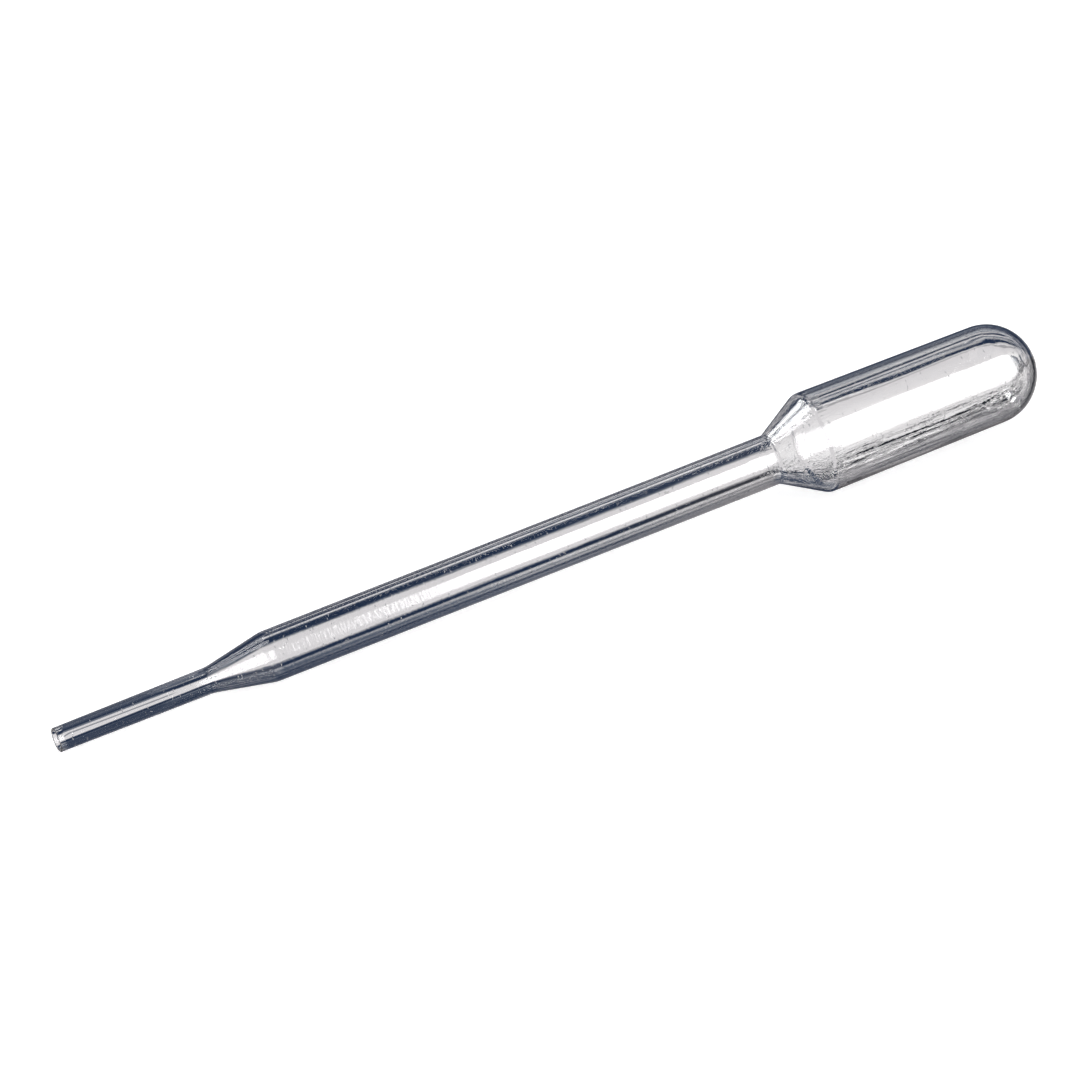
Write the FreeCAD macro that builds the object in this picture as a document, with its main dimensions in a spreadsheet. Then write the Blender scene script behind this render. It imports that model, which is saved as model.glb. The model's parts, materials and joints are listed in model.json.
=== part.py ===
# Plastic dropper pipette: one blown piece of clear polyethylene, open at the mouth of its tip.
#
# The piece is a tube of revolution. From the mouth it runs through a thin tip, a taper, a long
# straight stem, a conical shoulder and a squeeze bulb that closes in a dome. It is drawn along its
# own axis, X, from the middle of the mouth, and then laid down as it comes to rest on a flat
# surface: on the rounded shoulder of the bulb and on the near end of the stem, with the thin tip
# just clear of the surface.
import FreeCAD, Part
import Sketcher
import math
import os

doc = FreeCAD.newDocument("dropper_pipette")

# Driving dimensions, in millimetres.
SIZES = [
    ("overall_length", "150"),
    ("mouth_diameter", "3.46"),
    ("mouth_bore", "2.70"),
    ("tip_length", "22.8"),
    ("tip_root_diameter", "3.72"),
    ("taper_length", "8.8"),
    ("bend_radius", "6"),
    ("stem_diameter", "7.22"),
    ("stem_wall", "0.55"),
    ("neck_radius", "0.4"),
    ("shoulder_length", "6.5"),
    ("shoulder_radius", "2"),
    ("bulb_length", "34.7"),
    ("bulb_diameter", "14.64"),
    ("bulb_wall", "0.5"),
    ("dome_radius", "7.1"),
]
sheet = doc.addObject("Spreadsheet::Sheet", "Sizes")
for row, (alias, value) in enumerate(SIZES, start=1):
    sheet.set(f"A{row}", alias)
    sheet.set(f"B{row}", value)
    sheet.setAlias(f"B{row}", alias)
doc.recompute()
size = {alias: float(sheet.get(alias)) for alias, value in SIZES}

# Stations along the axis, from the mouth, and the radii there.
taper_end = size["tip_length"] + size["taper_length"]
shoulder_end = size["overall_length"] - size["bulb_length"]
shoulder_start = shoulder_end - size["shoulder_length"]
dome_centre = size["overall_length"] - size["dome_radius"]
mouth_r = size["mouth_diameter"] / 2
bore_r = size["mouth_bore"] / 2
stem_r = size["stem_diameter"] / 2
bulb_r = size["bulb_diameter"] / 2

# The section's corners, outside and inside. The sketch's constraints then place them exactly.
outside = [
    (0, mouth_r),
    (size["tip_length"], size["tip_root_diameter"] / 2),
    (taper_end, stem_r),
    (shoulder_start, stem_r),
    (shoulder_end, bulb_r),
    (dome_centre, size["dome_radius"]),
]
inside = [
    (0, bore_r),
    (size["tip_length"], bore_r),
    (taper_end, stem_r - size["stem_wall"]),
    (shoulder_start, stem_r - size["stem_wall"]),
    (shoulder_end, bulb_r - size["bulb_wall"]),
    (dome_centre, size["dome_radius"] - size["bulb_wall"]),
]

body = doc.addObject("PartDesign::Body", "pipette")
body.Label = "pipette"
section = body.newObject("Sketcher::SketchObject", "wall_section")
lengthwise = [plane for plane in body.Origin.OriginFeatures if plane.Role == "XZ_Plane"][0]
section.AttachmentSupport = (lengthwise, "")
section.MapMode = "FlatFace"

# The names that a constraint gives to a curve's points, and to the sketch's own axes.
START, END, CENTRE = 1, 2, 3
ALONG, ACROSS = -1, -2
ORIGIN = (ALONG, START)


def fix(kind, *geometry):
    """A relation within the section, such as two ends that meet."""
    return section.addConstraint(Sketcher.Constraint(kind, *geometry))


def tie(expression, kind, *geometry):
    """A dimension of the section that follows the sheet."""
    value = section.evalExpression(expression)
    section.setExpression(f"Constraints[{fix(kind, *geometry, value)}]", expression)


def draw(near, far):
    """A straight line of the section."""
    line = Part.LineSegment(FreeCAD.Vector(*near, 0), FreeCAD.Vector(*far, 0))
    return section.addGeometry(line, False)


def draw_outline(corners):
    """Straight runs from corner to corner, and a dome that closes them on the axis."""
    runs = [draw(near, far) for near, far in zip(corners, corners[1:])]
    middle, top = corners[-1]
    circle = Part.Circle(FreeCAD.Vector(middle, 0, 0), FreeCAD.Vector(0, 0, 1), top)
    dome = section.addGeometry(Part.ArcOfCircle(circle, 0, math.pi / 2), False)
    for run, following in zip(runs, runs[1:]):
        fix("Coincident", run, END, following, START)
    fix("Tangent", runs[-1], END, dome, END)
    fix("PointOnObject", dome, START, ALONG)
    return [*runs, dome]


tip, taper, stem, shoulder, side, dome = draw_outline(outside)
tie("Sizes.mouth_diameter / 2", "DistanceY", *ORIGIN, tip, START)
tie("Sizes.tip_length", "DistanceX", *ORIGIN, tip, END)
tie("Sizes.tip_root_diameter / 2", "DistanceY", *ORIGIN, tip, END)
tie("Sizes.taper_length", "DistanceX", taper, START, taper, END)
tie("Sizes.stem_diameter / 2", "DistanceY", *ORIGIN, taper, END)
fix("Horizontal", stem)
tie("Sizes.shoulder_length", "DistanceX", shoulder, START, shoulder, END)
tie("Sizes.bulb_diameter / 2", "DistanceY", *ORIGIN, shoulder, END)
tie("Sizes.bulb_length", "DistanceX", shoulder, END, dome, START)
tie("Sizes.overall_length", "DistanceX", *ORIGIN, dome, START)
tie("Sizes.dome_radius", "Radius", dome)
fix("PointOnObject", dome, CENTRE, ALONG)

tip_in, taper_in, stem_in, shoulder_in, side_in, dome_in = draw_outline(inside)
tie("Sizes.mouth_bore / 2", "DistanceY", *ORIGIN, tip_in, START)
fix("Horizontal", tip_in)
fix("Vertical", tip_in, END, tip, END)
fix("Vertical", taper_in, END, taper, END)
fix("Horizontal", stem_in)
tie("Sizes.stem_wall", "DistanceY", stem_in, START, stem, START)
fix("Parallel", shoulder_in, shoulder)
tie("Sizes.bulb_wall", "Distance", shoulder_in, END, shoulder)
fix("Parallel", side_in, side)
tie("Sizes.bulb_wall", "Distance", side_in, START, side)
fix("Coincident", dome_in, CENTRE, dome, CENTRE)

rim = draw(inside[0], outside[0])
fix("Coincident", rim, START, tip_in, START)
fix("Coincident", rim, END, tip, START)
fix("PointOnObject", rim, START, ACROSS)
fix("Vertical", rim)
crown = draw((size["overall_length"], 0), (size["overall_length"] - size["bulb_wall"], 0))
fix("Coincident", crown, START, dome, START)
fix("Coincident", crown, END, dome_in, START)


def soften(run, radius):
    """Round the corner that this run starts from, and give back the rounding."""
    section.fillet(run, START, section.evalExpression(radius), True, True)
    rounding = section.GeometryCount - 2
    tie(radius, "Radius", rounding)
    return rounding


# The mould's corners are all a little round, and the wall follows them inside.
for bend in (taper, taper_in, stem_in):
    soften(bend, "Sizes.bend_radius")
soften(shoulder, "Sizes.neck_radius")
soften(shoulder_in, "Sizes.neck_radius + Sizes.stem_wall")
soften(side_in, "Sizes.shoulder_radius - Sizes.bulb_wall")
stem_rounding = soften(stem, "Sizes.bend_radius")
shoulder_rounding = soften(side, "Sizes.shoulder_radius")

blown = body.newObject("PartDesign::Revolution", "blown_wall")
blown.Profile = section
blown.ReferenceAxis = (section, ["H_Axis"])
blown.Angle = 360
doc.recompute()

# Laid down: the shoulder rests on the surface, and the lighter end sinks until the stem's near end
# or the mouth's rim touches it too.
heel = section.Geometry[shoulder_rounding]
stem_start = section.Geometry[stem_rounding]


def tilt_until(centre, radius):
    """The climb towards the bulb when a rounding of the outline lies level with the shoulder's."""
    apart = heel.Center - centre
    return math.atan2(apart.y, apart.x) + math.asin((heel.Radius - radius) / apart.Length)


on_stem = tilt_until(stem_start.Center, stem_start.Radius)
on_rim = tilt_until(FreeCAD.Vector(0, mouth_r, 0), 0)
tilt = min(on_stem, on_rim)

left = -mouth_r * math.sin(tilt)
right = dome_centre * math.cos(tilt) + size["dome_radius"]
lift = heel.Radius + heel.Center.y * math.cos(tilt) - heel.Center.x * math.sin(tilt)
body.Placement = FreeCAD.Placement(
    FreeCAD.Vector(-(left + right) / 2, 0, lift),
    FreeCAD.Rotation(FreeCAD.Vector(0, 1, 0), -math.degrees(tilt)),
)
doc.recompute()

for item in doc.Objects:
    if "Invalid" in item.State or "Error" in item.State:
        raise RuntimeError(f"{item.Label} failed: {item.State}")
if body.Shape.isNull() or not body.Shape.isValid():
    raise RuntimeError(f"{body.Label} has no valid shape")

os.makedirs("parts", exist_ok=True)
body.Shape.exportStep(f"parts/{body.Label}.step")
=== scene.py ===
# The dropper pipette as it lies on a white sweep, seen from in front of it and above.
import json
import math

import bpy
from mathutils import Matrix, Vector


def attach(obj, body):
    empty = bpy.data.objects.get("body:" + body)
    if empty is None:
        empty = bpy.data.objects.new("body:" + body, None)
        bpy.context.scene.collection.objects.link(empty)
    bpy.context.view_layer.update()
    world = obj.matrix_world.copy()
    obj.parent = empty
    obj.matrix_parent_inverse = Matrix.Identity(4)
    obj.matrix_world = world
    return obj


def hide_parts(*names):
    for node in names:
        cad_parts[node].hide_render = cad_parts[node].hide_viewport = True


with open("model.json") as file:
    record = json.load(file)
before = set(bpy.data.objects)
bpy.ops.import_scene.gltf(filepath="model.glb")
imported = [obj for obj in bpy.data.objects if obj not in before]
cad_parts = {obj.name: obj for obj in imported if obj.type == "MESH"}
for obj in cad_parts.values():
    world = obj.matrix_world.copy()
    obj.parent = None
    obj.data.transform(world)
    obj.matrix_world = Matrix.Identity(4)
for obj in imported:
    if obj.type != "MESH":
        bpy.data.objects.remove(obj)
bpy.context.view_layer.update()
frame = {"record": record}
scene = bpy.context.scene
scene.view_settings.view_transform = "Standard"
bpy.ops.object.select_all(action="DESELECT")


# ---------------------------------------------------------------------------------------------
# The camera stands in front of the pipette and looks down on it. The bulb is the farther end and
# the open mouth the nearer one.
mouth_mount = next(mount for mount in frame["record"]["mounts"] if mount["name"] == "mouth")
mouth_place = Vector(mouth_mount["pos_m"])
lengthwise = -Vector(mouth_mount["axis"])
camera_height = math.radians(44.5)
camera_round = math.radians(27.0)
camera_distance = 1.0273
aim_along, aim_left, aim_up = 0.0738, 0.00082, 0.00107
towards_camera = Vector((
    -math.sin(camera_round) * math.cos(camera_height),
    -math.cos(camera_round) * math.cos(camera_height),
    math.sin(camera_height),
))
to_the_right = Vector((math.cos(camera_round), -math.sin(camera_round), 0))
upwards = towards_camera.cross(to_the_right)
looked_at = mouth_place + lengthwise * aim_along - to_the_right * aim_left + upwards * aim_up
bpy.ops.object.camera_add(
    location=looked_at + towards_camera * camera_distance,
    rotation=towards_camera.to_track_quat("Z", "Y").to_euler(),
)
camera = bpy.context.object
camera.name = "camera"
camera.data.sensor_width = 36
camera.data.lens = 250
camera.data.clip_start = 0.05
scene.camera = camera


# ---------------------------------------------------------------------------------------------
# The pipette is one piece of clear polyethylene: a tube drawn out thin for the tip and blown into
# a squeeze bulb at its other end. Its wall is about half a millimetre thick all the way. Stations
# along it are in millimetres from the mouth.
MM = 0.001
laid_down = math.asin(lengthwise.z)
mouth_r, bore_r = 1.73, mouth_mount["dims"]["r_mm"]
tip_end, tip_r = 22.8, 1.86
stem_start, stem_end, stem_r, stem_wall = 31.6, 108.8, 3.61, 0.55
bulb_start, bulb_r, bulb_wall = 115.3, 7.315, 0.5
dome_middle, dome_r = 142.9, 7.1
side_length = dome_middle - bulb_start
side_slope = math.atan2(bulb_r, side_length) - math.asin(dome_r / math.hypot(bulb_r, side_length))
ring_points = 180
ring_apart = 1.5
dome_rings = 26


def rounded(corners):
    """The line through the corners, each (station, radius, rounding), with its corners rounded."""
    line = [Vector(corners[0][:2])]
    for before, here, after in zip(corners, corners[1:], corners[2:]):
        corner = Vector(here[:2])
        back = (Vector(before[:2]) - corner).normalized()
        on = (Vector(after[:2]) - corner).normalized()
        half = back.angle(on) / 2
        middle = corner + (back + on).normalized() * here[2] / math.sin(half)
        first = corner + back * here[2] / math.tan(half) - middle
        last = corner + on * here[2] / math.tan(half) - middle
        steps = max(3, round(math.degrees(math.pi - 2 * half) / 6))
        for step in range(steps + 1):
            line.append(middle + first.slerp(last, step / steps) * here[2])
    line.append(Vector(corners[-1][:2]))
    return line


def dome(radius):
    """The round end, from where the bulb's side meets it to just short of its pole."""
    left_to_turn = math.pi / 2 - side_slope
    turns = [side_slope + left_to_turn * ring / dome_rings for ring in range(dome_rings)]
    return [Vector((dome_middle + radius * math.sin(t), radius * math.cos(t))) for t in turns]


def with_rings(line):
    """The line with its long runs cut up."""
    cut = [line[0]]
    for near, far in zip(line, line[1:]):
        pieces = max(1, math.ceil((far - near).length / ring_apart))
        cut += [near.lerp(far, piece / pieces) for piece in range(1, pieces + 1)]
    return cut


outer_dome = dome(dome_r)
inner_dome = dome(dome_r - bulb_wall)
outside = with_rings(rounded([
    (0.0, bore_r + 0.1, 0), (0.0, mouth_r, 0.1), (tip_end, tip_r, 6.0), (stem_start, stem_r, 6.0),
    (stem_end, stem_r, 0.8), (bulb_start, bulb_r, 2.0), (*outer_dome[0], 0),
])) + outer_dome[1:]
inside = with_rings(rounded([
    (0.0, bore_r + 0.1, 0), (0.0, bore_r, 0.08), (tip_end, bore_r, 6.0),
    (stem_start, stem_r - stem_wall, 6.0), (stem_end, stem_r - stem_wall, 1.35),
    (bulb_start + 0.2, bulb_r - bulb_wall, 1.5), (*inner_dome[0], 0),
])) + inner_dome[1:]

bpy.ops.mesh.primitive_circle_add(vertices=ring_points, radius=outside[0].y * MM)
pipette = bpy.context.object
pipette.name = "blown_pipette"
bpy.ops.object.mode_set(mode="EDIT")


def draw_out(line):
    """Extrude the selected ring from station to station, and close it at the end."""
    for near, far in zip(line, line[1:]):
        bpy.ops.mesh.extrude_region_move(
            TRANSFORM_OT_translate={"value": (0, 0, (far.x - near.x) * MM)}
        )
        grown = far.y / near.y
        bpy.ops.transform.resize(value=(grown, grown, 1))
    bpy.ops.mesh.merge(type="CENTER")


draw_out(outside)
bpy.ops.object.mode_set(mode="OBJECT")
outside_points = len(pipette.data.vertices)
for point in pipette.data.vertices:
    point.select = point.index < ring_points
bpy.ops.object.mode_set(mode="EDIT")
draw_out(inside)
bpy.ops.object.mode_set(mode="OBJECT")

# The wall isn't equally thick all round: blowing thins it unevenly, which only its inside shows.
# The skin sinks a few hundredths between the places where the mould held it.
inner_wall = pipette.vertex_groups.new(name="inner_wall")
outer_skin = pipette.vertex_groups.new(name="outer_skin")
for point in pipette.data.vertices:
    station = point.co.z / MM
    blown = 0.1 if station < tip_end else 0.35 if station < stem_end else 1.0
    side_of_wall = inner_wall if point.index >= outside_points else outer_skin
    side_of_wall.add([point.index], blown, "REPLACE")
bpy.ops.object.mode_set(mode="EDIT")
bpy.ops.mesh.select_all(action="SELECT")
bpy.ops.mesh.remove_doubles(threshold=0.000001)
bpy.ops.mesh.normals_make_consistent(inside=False)
bpy.ops.object.mode_set(mode="OBJECT")


def uneven(group, name, across, along, depth, level):
    """Move one side of the wall in and out in long soft waves."""
    bpy.ops.object.empty_add()
    stretch = bpy.context.object
    stretch.scale = (across * MM, across * MM, along * MM)
    waves = bpy.data.textures.new(name, "CLOUDS")
    waves.noise_scale = 1.0
    waves.noise_depth = 1
    bpy.context.view_layer.update()
    bpy.context.view_layer.objects.active = pipette
    moved = pipette.modifiers.new(name, "DISPLACE")
    moved.texture = waves
    moved.texture_coords = "OBJECT"
    moved.texture_coords_object = stretch
    moved.vertex_group = group.name
    moved.strength = depth * MM
    moved.mid_level = level
    bpy.ops.object.modifier_apply(modifier=name)
    bpy.data.objects.remove(stretch)
    bpy.data.textures.remove(waves)


uneven(inner_wall, "thick_and_thin", 3.4, 17.0, 0.02, 0.5)
uneven(outer_skin, "sunk_skin", 4.2, 24.0, 0.03, 1.0)
bpy.ops.object.select_all(action="DESELECT")
pipette.select_set(True)
bpy.ops.object.shade_smooth()
pipette.rotation_euler = (0, math.pi / 2 - laid_down, 0)
pipette.location = mouth_place
bpy.ops.object.transform_apply(location=True, rotation=True, scale=True)
for part in (pipette.data.polygons, pipette.data.edges):
    part.foreach_set("select", [False] * len(part))

# The bulb's wall is thicker on one side halfway along it, and thinner on the other near the dome.
across = lengthwise.cross(towards_camera).normalized()
for station_pushed, side, depth, reach in ((129.0, -1, 0.06, 11.0), (140.0, 1, 0.09, 14.0)):
    pushed = mouth_place + (lengthwise * station_pushed + across * side * bulb_r) * MM
    for point in pipette.data.vertices:
        inside_it = any(share.group == inner_wall.index for share in point.groups)
        point.select = inside_it and (point.co - pushed).length < 1.2 * MM
    bpy.ops.object.mode_set(mode="EDIT")
    bpy.ops.transform.translate(
        value=across * depth * MM,
        use_proportional_edit=True,
        use_proportional_connected=True,
        proportional_edit_falloff="SMOOTH",
        proportional_size=reach * MM,
    )
    bpy.ops.object.mode_set(mode="OBJECT")

clear = bpy.data.materials.new("clear_polyethylene")
clear.use_nodes = True
tree = clear.node_tree
plastic = tree.nodes["Principled BSDF"]
plastic.inputs["Base Color"].default_value = (0.985, 0.985, 0.985, 1)
plastic.inputs["Roughness"].default_value = 0.0
plastic.inputs["IOR"].default_value = 1.51
plastic.inputs["Transmission Weight"].default_value = 1.0


def put(slot, value):
    """Set a socket to a number, a vector or a colour, or join another socket to it."""
    if isinstance(value, bpy.types.NodeSocket):
        slot.id_data.links.new(value, slot)
    else:
        slot.default_value = value


def reckon(operation, *values):
    """The answer to a sum on numbers and sockets."""
    made = tree.nodes.new("ShaderNodeMath")
    made.operation = operation
    for slot, value in zip(made.inputs, values):
        put(slot, value)
    return made.outputs[0]


def product(first, *others):
    """All of these multiplied."""
    for other in others:
        first = reckon("MULTIPLY", first, other)
    return first


def total(first, *others):
    """All of these added."""
    for other in others:
        first = reckon("ADD", first, other)
    return first


def going(value, low, high, first=0.0, last=1.0):
    """A number that goes smoothly from first to last as the value goes from low to high."""
    made = tree.nodes.new("ShaderNodeMapRange")
    made.interpolation_type = "SMOOTHSTEP"
    for slot, number in zip(made.inputs, (value, low, high, first, last)):
        put(slot, number)
    return made.outputs[0]


def place_in(vector, scale):
    """The same place with each of its directions scaled."""
    made = tree.nodes.new("ShaderNodeMapping")
    put(made.inputs["Vector"], vector)
    put(made.inputs["Scale"], scale)
    return made


def noise_at(place, detail=1.0):
    """Soft noise between 0 and 1, one blotch or so for each unit of place."""
    made = tree.nodes.new("ShaderNodeTexNoise")
    put(made.inputs["Vector"], place)
    put(made.inputs["Scale"], 1.0)
    put(made.inputs["Detail"], detail)
    return made.outputs["Fac"]


def marks(along, across, depth, detail=1.0):
    """Marks of this length and width, in and out by about half this depth, in millimetres."""
    spaced = place_in(from_mouth.outputs[0], (1 / along, 1 / across, 1 / across))
    return reckon("MULTIPLY_ADD", noise_at(spaced.outputs[0], detail), depth, -depth / 2)


# Places on it are in millimetres from the mouth: along it, towards its far side, and up.
from_mouth = place_in(tree.nodes.new("ShaderNodeTexCoord").outputs["Object"], (MM, MM, MM))
from_mouth.vector_type = "TEXTURE"
put(from_mouth.inputs["Location"], mouth_place)
put(from_mouth.inputs["Rotation"], (0, -laid_down, 0))
from_mouth_parts = tree.nodes.new("ShaderNodeSeparateXYZ")
put(from_mouth_parts.inputs[0], from_mouth.outputs[0])
station = from_mouth_parts.outputs["X"]

# Drawing leaves lines along it, long soft ones and fine ones in patches, and the mould a grain.
# They are fainter on the thin tip and on the bulb, and strongest on the shoulder's cone.
patches = going(marks(9.0, 2.5, 1.0, 2.0), -0.1, 0.12, 0.25, 1.0)
on_cone = product(going(station, 107.0, 109.0), going(station, 116.0, 118.0, 1.0, 0.0))
fine_lines = product(marks(4.0, 0.35, 0.0016), reckon("MULTIPLY_ADD", on_cone, 3.2, patches))
drawn = total(marks(14.0, 1.3, 0.005), fine_lines, marks(0.6, 0.6, 0.0010))
blown_smooth = product(
    going(station, 107.0, 109.0, 1.0, 1.2), going(station, 115.0, 119.0, 1.0, 0.3)
)
drawn = product(drawn, going(station, 22.0, 34.0, 0.3, 1.0), reckon("MAXIMUM", blown_smooth, 0.3))

# The bulb's underside is scuffed along it, and its dome crinkled.
near_and_down = (0, -0.7, -0.71)
low_side = tree.nodes.new("ShaderNodeVectorMath")
low_side.operation = "DOT_PRODUCT"
put(low_side.inputs[0], from_mouth.outputs[0])
put(low_side.inputs[1], near_and_down)
scuffs = going(marks(4.0, 0.30, 1.0), 0.10, 0.20, 0.0, 0.0013)
crinkles = product(marks(0.45, 0.45, 0.0006), going(station, 141.0, 144.0, 1.0, 7.0))
scuffed = product(
    total(scuffs, crinkles),
    going(station, 108.0, 114.0),
    going(low_side.outputs["Value"], -1.5, 2.0),
)

# The stem's near half cooled in ripples across it.
cooled = product(going(station, 45.0, 80.0, 1.0, 0.1), going(station, 31.0, 33.0))
ripples = product(marks(0.34, 1.6, 0.004), cooled)

# Nicks: short scratches across it, here and there, from handling.
nick_along, nick_across, nicks_left_out = 0.16, 0.6, 0.985
nick_scale = (1 / nick_along, 1 / nick_across, 1 / nick_across)
nicks = tree.nodes.new("ShaderNodeTexVoronoi")
put(nicks.inputs["Scale"], 1.0)
put(nicks.inputs["Vector"], place_in(from_mouth.outputs[0], nick_scale).outputs[0])
chance = tree.nodes.new("ShaderNodeSeparateXYZ")
put(chance.inputs[0], nicks.outputs["Color"])
nicked = product(
    reckon("GREATER_THAN", chance.outputs[0], nicks_left_out),
    going(nicks.outputs["Distance"], 0.1, 0.5, -0.02, 0.0),
)

bump = tree.nodes.new("ShaderNodeBump")
put(bump.inputs["Strength"], 1.0)
put(bump.inputs["Distance"], MM)
put(bump.inputs["Height"], total(drawn, scuffed, ripples, nicked))
put(plastic.inputs["Normal"], bump.outputs["Normal"])
pipette.data.materials.append(clear)

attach(pipette, "root")
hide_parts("pipette")


# ---------------------------------------------------------------------------------------------
# The sweep is a plain white floor. It takes the pipette's soft shadow, and the plastic sees the
# studio through it.
bpy.ops.mesh.primitive_plane_add(size=8)
floor = bpy.context.object
floor.name = "floor"
white = bpy.data.materials.new("white_floor")
white.use_nodes = True
tree = white.node_tree
paper = tree.nodes["Principled BSDF"]
paper.inputs["Base Color"].default_value = (0.8, 0.8, 0.8, 1)
paper.inputs["Roughness"].default_value = 1.0
paper.inputs["Specular IOR Level"].default_value = 0.0
paper.inputs["Emission Color"].default_value = (1, 1, 1, 1)
path = tree.nodes.new("ShaderNodeLightPath")
put(paper.inputs["Emission Strength"], product(path.outputs["Is Camera Ray"], 0.70))
seen_through = tree.nodes.new("ShaderNodeMixShader")
put(seen_through.inputs[0], reckon(
    "MAXIMUM", path.outputs["Is Glossy Ray"], path.outputs["Is Transmission Ray"]
))
put(seen_through.inputs[1], paper.outputs[0])
put(seen_through.inputs[2], tree.nodes.new("ShaderNodeBsdfTransparent").outputs[0])
put(tree.nodes["Material Output"].inputs["Surface"], seen_through.outputs[0])
floor.data.materials.append(white)


# ---------------------------------------------------------------------------------------------
# The studio is lit as clear things are. Past the pipette the plastic sees a bright gap between two
# black cards, whose own edges catch a few lines of light. In front it mirrors a lit panel and a
# window. Towards its ends the room is plain grey. The camera itself sees white all round.
world = bpy.data.worlds.new("studio")
world.use_nodes = True
scene.world = world
tree = world.node_tree


def shades(value, *stops):
    """The shade at a value, evenly between stops of (value, shade), each a grey or a colour."""
    low, high = stops[0][0], stops[-1][0]
    ramp = tree.nodes.new("ShaderNodeValToRGB")
    put(ramp.inputs[0], reckon("MULTIPLY_ADD", value, 1 / (high - low), -low / (high - low)))
    elements = ramp.color_ramp.elements
    elements.remove(elements[-1])
    for count, (place, shade) in enumerate(stops):
        place = (place - low) / (high - low)
        element = elements.new(place) if count else elements[0]
        element.position = place
        element.color = (*shade, 1) if isinstance(shade, tuple) else (shade, shade, shade, 1)
    return ramp.outputs[0]


def mixed(share, first, second, kind="FLOAT", blend="MIX"):
    """The first number or colour, going over to the second as the share goes from 0 to 1."""
    made = tree.nodes.new("ShaderNodeMix")
    made.data_type = kind
    made.blend_type = blend
    first_slot, second_slot, answer = (2, 3, 0) if kind == "FLOAT" else (6, 7, 2)
    put(made.inputs[0], share)
    put(made.inputs[first_slot], first)
    put(made.inputs[second_slot], second)
    return made.outputs[answer]


# A direction is how far it goes along the pipette, from -1 to 1, and the degrees round it from
# straight down.
looking = tree.nodes.new("ShaderNodeMapping")
put(looking.inputs["Vector"], tree.nodes.new("ShaderNodeTexCoord").outputs["Generated"])
put(looking.inputs["Rotation"], (0, laid_down, 0))
looking_parts = tree.nodes.new("ShaderNodeSeparateXYZ")
put(looking_parts.inputs[0], looking.outputs[0])
lengthways = looking_parts.outputs["X"]
downwards = reckon("MULTIPLY", looking_parts.outputs["Z"], -1.0)
angle = reckon("ARCTAN2", looking_parts.outputs["Y"], downwards)
degrees = reckon("MULTIPLY", angle, 180 / math.pi)
gap_at = 41.6
from_gap = reckon("SUBTRACT", degrees, gap_at)
off_gap = reckon("ABSOLUTE", from_gap)
above = reckon("GREATER_THAN", from_gap, 0.0)
past_bulb_end = going(lengthways, 0.39, 0.45)
past_bulb = going(lengthways, 0.3215, 0.3255)

# The cards: their shade by degrees off the gap, on a scale that doubles. The tip's own is wider.
tip_is_wider = product(shades(lengthways, (0.2455, 0.40), (0.2485, 0.0)), above)
scale = product(off_gap, reckon("SUBTRACT", 1.0, tip_is_wider))
scale = reckon("LOGARITHM", reckon("MAXIMUM", scale, 0.5), 2.0)


def card(*edges):
    """A card's shade, from edges of (degrees off the gap, shade)."""
    return shades(scale, *((math.log2(off), shade) for off, shade in edges))


stem_above = card(
    (0.5, 0.80), (3.4, 0.80), (3.8, 0.55), (4.2, 0.25), (4.8, 0.08), (5.4, 0.0), (9.6, 0.0),
    (10.6, 0.10), (11.8, 0.55), (12.8, 0.92), (14.6, 0.84), (15.8, 0.25), (17.0, 0.0), (39.5, 0.0),
    (41, 0.6), (43, 1.0), (45.5, 0.8), (47.5, 0.0), (64, 0.0),
)
stem_below = card(
    (0.5, 0.80), (2.9, 0.80), (3.5, 0.32), (4.0, 0.0), (5.3, 0.0), (5.9, 0.20), (6.6, 0.56),
    (7.6, 0.56), (8.9, 0.28), (10.7, 0.20), (12, 0.36), (14, 0.38), (16, 0.20), (18, 0.10),
    (21, 0.02), (30, 0.0), (38, 0.2), (42, 0.30), (47, 0.25), (51, 0.0), (64, 0.0),
)
bulb_above = card(
    (0.5, 0.92), (1.0, 0.92), (1.5, 0.86), (2.1, 0.80), (2.5, 0.80), (2.65, 0.40), (2.78, 0.40),
    (2.9, 0.90), (3.1, 0.60), (3.25, 0.0), (3.95, 0.0), (4.15, 0.35), (4.45, 0.45), (4.7, 0.35),
    (4.95, 0.02), (5.3, 0.02), (5.6, 0.60), (6.0, 0.90), (6.3, 0.40), (6.6, 0.0), (7.5, 0.0),
    (8.1, 0.40), (9.0, 0.65), (9.8, 0.40), (10.6, 0.03), (12.5, 0.12), (15, 0.02), (27, 0.03),
    (30, 0.18), (36, 0.18), (40, 0.03), (64, 0.0),
)
bulb_below = card(
    (0.5, 1.0), (1.0, 1.0), (1.15, 0.88), (1.5, 0.86), (1.56, 0.15), (1.70, 0.15), (1.76, 0.88),
    (2.22, 1.0), (2.29, 0.0), (2.72, 0.0), (2.79, 1.0), (3.15, 1.0), (3.24, 0.0), (3.8, 0.0),
    (3.95, 0.40), (4.3, 0.60), (4.8, 0.52), (5.3, 0.36), (6.0, 0.38), (8.2, 0.42), (9.3, 0.22),
    (10.4, 0.30), (12, 0.32), (15, 0.20), (18, 0.08), (25, 0.10), (37, 0.25), (50, 0.20),
    (64, 0.10),
)

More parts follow.
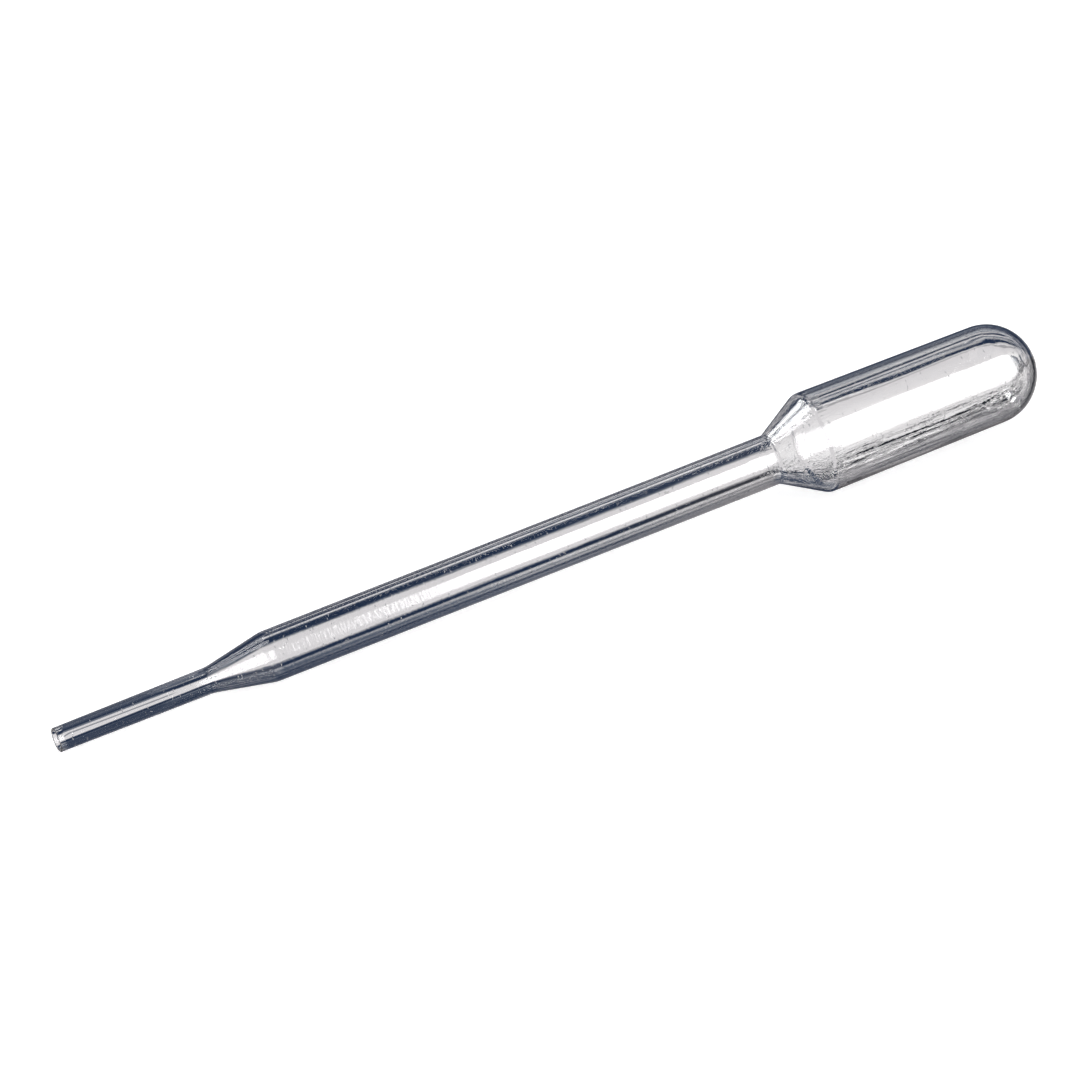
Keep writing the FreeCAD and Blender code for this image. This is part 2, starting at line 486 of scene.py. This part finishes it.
# Behind the tip the upper card has one slanting dark line in the gap, and beyond it an even dim
# light.
slant, line_at = 75.0, 19.1
slanting = reckon("MULTIPLY_ADD", lengthways, slant, reckon("SUBTRACT", from_gap, line_at))
tip_line = going(reckon("ABSOLUTE", slanting), 0.4, 0.9, 0.33, 1.0)
stem_above = product(
    stem_above,
    reckon("MAXIMUM", tip_line, going(lengthways, 0.2455, 0.2485)),
    reckon("MAXIMUM", card((9.85, 1.0), (10.9, 0.6)), going(lengthways, 0.2485, 0.2515)),
)
tip_light = shades(lengthways, (0.215, 0.0), (0.22, 0.18), (0.2535, 0.18), (0.2555, 0.0))
stem_above = reckon("MAXIMUM", stem_above, product(tip_light, going(from_gap, 9.0, 13.0)))

# The lower card is darker towards the mouth, and lighter at the far end of the stem.
in_gap = reckon("COMPARE", from_gap, 0.8, 3.6)
stem_below = product(
    stem_below,
    reckon("MAXIMUM", in_gap, shades(lengthways, (0.25, 0.6), (0.285, 1.0))),
    reckon("MAXIMUM", card((6.5, 1.0), (7.5, 0.55), (64, 0.6)), going(lengthways, 0.272, 0.292)),
)
outer_edge = product(going(from_gap, -12.0, -8.0, 1.0, 0.0), shades(
    lengthways,
    (0.215, 0.0), (0.22, 0.12), (0.2455, 0.12), (0.2495, 0.0), (0.3, 0.0), (0.32, 0.24),
))
stem_below = reckon("MAXIMUM", stem_below, outer_edge)
cards = mixed(past_bulb, mixed(above, stem_below, stem_above), mixed(above, bulb_below, bulb_above))

# The dome looks round the cards' far ends, which end in lines across them.
ends_above = product(cards, shades(
    lengthways,
    (0.40, 1.0), (0.47, 0.9), (0.485, 0.3), (0.50, 1.0), (0.53, 0.8), (0.55, 0.1), (0.58, 0.9),
    (0.61, 0.8), (0.63, 0.1), (0.66, 0.8), (0.70, 0.3), (0.74, 0.0),
))
ends_below = product(going(from_gap, -24.0, -9.0, 0.25, 1.0), shades(
    lengthways,
    (0.386, 0.82), (0.45, 0.80), (0.47, 0.30), (0.485, 0.85), (0.515, 0.75), (0.54, 0.15),
    (0.56, 0.75), (0.60, 0.60), (0.63, 0.10), (0.66, 0.45), (0.69, 0.20), (0.72, 0.0),
))
cards = mixed(past_bulb_end, cards, mixed(above, ends_below, ends_above))


def streaked(along, round_it, detail):
    """Noise over the cards, from one number that goes along them and one that goes round."""
    place = tree.nodes.new("ShaderNodeCombineXYZ")
    put(place.inputs[0], along)
    put(place.inputs[1], round_it)
    return noise_at(place.outputs[0], detail)


# Their ends are blotched, and below, the far card is streaked.
blotches = streaked(product(lengthways, 24.0), product(degrees, 0.45), 1.0)
at_ends = product(going(lengthways, 0.392, 0.412), going(from_gap, 0.5, 2.5, 1.0, 0.0))
streaks = streaked(product(lengthways, 150.0), product(scale, 4.5), 2.0)
at_far_card = product(going(from_gap, -4.2, -3.6, 1.0, 0.0), past_bulb)
shaded_ends = shades(
    lengthways,
    (0.15, 1.0), (0.2, 0.25), (0.2455, 0.25), (0.2475, 0.6), (0.2525, 0.6), (0.254, 1.0),
)
cards = product(
    cards,
    mixed(at_ends, 1.0, going(blotches, 0.44, 0.52, 0.20, 1.15)),
    mixed(at_far_card, 1.0, going(streaks, 0.43, 0.57, 0.2, 1.8)),
    reckon("MAXIMUM", in_gap, shaded_ends),
)

# The cards' black is bluish, and warmer on the lower one past the stem.
bluish = shades(
    cards,
    (0.0, (0.012, 0.024, 0.056)), (0.15, (0.138, 0.159, 0.205)), (0.40, (0.405, 0.40, 0.412)),
    (0.8, (0.80, 0.777, 0.790)), (1.0, (1.0, 0.985, 0.99)),
)
warmer = shades(
    cards,
    (0.0, (0.018, 0.020, 0.026)), (0.15, (0.152, 0.150, 0.160)), (0.40, (0.412, 0.395, 0.405)),
    (0.8, (0.80, 0.777, 0.790)), (1.0, (1.0, 0.985, 0.99)),
)
past_stem = product(going(lengthways, 0.29, 0.325), reckon("SUBTRACT", 1.0, above))
room = mixed(past_stem, bluish, warmer, "RGBA")

# Plain grey walls, with a dark stripe each side, where only a view from elsewhere looks: across
# the pipette, past its ends, and back from its far end.
across_it = shades(lengthways, (-0.16, 0.0), (-0.12, 1.0), (0.06, 1.0), (0.09, 0.0))
shoulder_glances = shades(
    reckon("MULTIPLY_ADD", lengthways, 146.0, off_gap), (11, 1.0), (15, 0.0), (33, 0.0), (38, 1.0)
)
across_it = product(across_it, shoulder_glances)
past_ends = product(
    shades(
        lengthways,
        (-0.75, 1.0), (-0.65, 0.0), (0.02, 0.0), (0.08, 1.0), (0.18, 1.0), (0.205, 0.0),
        (0.42, 0.0), (0.50, 1.0),
    ),
    shades(degrees, (-105, 0.0), (-95, 1.0), (-30, 1.0), (-20, 0.0)),
)
back_along = shades(lengthways, (-0.80, 1.0), (-0.70, 0.0))
elsewhere = reckon("MAXIMUM", across_it, reckon("MAXIMUM", past_ends, back_along))
pale, dark = (0.58, 0.565, 0.575), (0.03, 0.04, 0.07)
walls = shades(
    reckon("ABSOLUTE", degrees),
    (22, pale), (28, dark), (42, dark), (48, pale), (88, pale), (96, dark),
)
room = mixed(elsewhere, room, walls, "RGBA")

# The panel is an oval as the bulb mirrors it and a strip as the stem does, with two faint strips
# of light behind it.
panel_round = math.radians(-135.5)
panel_half_wide, panel_middle, panel_half_long = 0.495, 0.345, 0.56


def along_a(direction):
    """How far the way looked goes in this direction."""
    made = tree.nodes.new("ShaderNodeVectorMath")
    made.operation = "DOT_PRODUCT"
    put(made.inputs[0], looking.outputs[0])
    put(made.inputs[1], direction)
    return made.outputs["Value"]


sideways = along_a((0, math.cos(panel_round), math.sin(panel_round)))
sideways = reckon("DIVIDE", sideways, panel_half_wide)
facing = reckon("GREATER_THAN", along_a((0, math.sin(panel_round), -math.cos(panel_round))), 0.0)
outwards = reckon("MAXIMUM", reckon("SUBTRACT", lengthways, panel_middle), 0.0)
outwards = reckon("DIVIDE", outwards, panel_half_long)
oval = reckon("MULTIPLY_ADD", sideways, sideways, product(outwards, outwards))
panel_at_bulb = product(
    going(oval, 1.04, 0.90), facing, shades(degrees, (-112, 1.0), (-106, 0.45))
)
panel_at_stem = shades(degrees, (-164, 0.0), (-160, 1.0), (-118, 1.0), (-110, 0.25), (-108, 0.0))
strips = shades(
    degrees,
    (94, 0.0), (97, 0.24), (105, 0.24), (108, 0.0),
    (125, 0.0), (127, 0.26), (133, 0.26), (135, 0.0),
)
panel = product(
    total(mixed(past_bulb, panel_at_stem, panel_at_bulb), strips),
    shades(lengthways, (0.266, 0.03), (0.292, 1.0)),
)

# The shoulder's cone mirrors a window's leaning panes, and the taper two streaks of it. A lamp
# overhead shows in a view across the pipette.
lean, upright_at, window_light = 0.0061, 103, 1.6
panes = product(
    shades(
        degrees,
        (100, 0.0), (102, 1.0), (114.5, 1.0), (117, 0.0), (122, 0.0), (124.5, 1.0), (142, 1.0),
        (144, 0.0), (148, 0.0), (150, 0.8), (156, 0.8), (158, 0.0),
    ),
    shades(
        total(lengthways, reckon("MULTIPLY_ADD", degrees, lean, -lean * upright_at)),
        (-0.37, 0.0), (-0.34, 1.0), (-0.19, 1.0), (-0.17, 0.0),
    ),
    window_light,
)
taper_streaks = product(
    shades(
        degrees,
        (118, 0.0), (121, 0.8), (126, 0.8), (129, 0.0),
        (147, 0.0), (150, 1.0), (155, 1.0), (158, 0.0),
    ),
    shades(lengthways, (-0.17, 0.0), (-0.14, 1.0), (0.10, 1.0), (0.14, 0.0)),
)
overhead = product(
    shades(degrees, (-162, 0.0), (-156, 0.5), (-122, 0.5), (-116, 0.0)),
    shades(lengthways, (-0.10, 0.0), (-0.07, 1.0), (0.09, 1.0), (0.12, 0.0)),
)
lights_strength = 5.5
lights = product(total(panel, panes, taper_streaks, overhead), lights_strength)
room = mixed(1.0, room, lights, "RGBA", "ADD")

path = tree.nodes.new("ShaderNodeLightPath")
by_plastic = reckon("MAXIMUM", path.outputs["Is Glossy Ray"], path.outputs["Is Transmission Ray"])
room = mixed(by_plastic, (0.6, 0.6, 0.6, 1), room, "RGBA")
room = mixed(path.outputs["Is Camera Ray"], room, (1, 1, 1, 1), "RGBA")
put(tree.nodes["Background"].inputs["Color"], room)

bpy.ops.object.light_add(type="AREA", location=(0.2, -0.3, 1.2))
key = bpy.context.object
key.name = "soft_box"
key.data.shape = "RECTANGLE"
key.data.size = 1.0
key.data.size_y = 0.7
key.data.energy = 6
key.rotation_euler = Vector(key.location).to_track_quat("Z", "Y").to_euler()
key.visible_camera = False
key.visible_glossy = False
key.visible_transmission = False
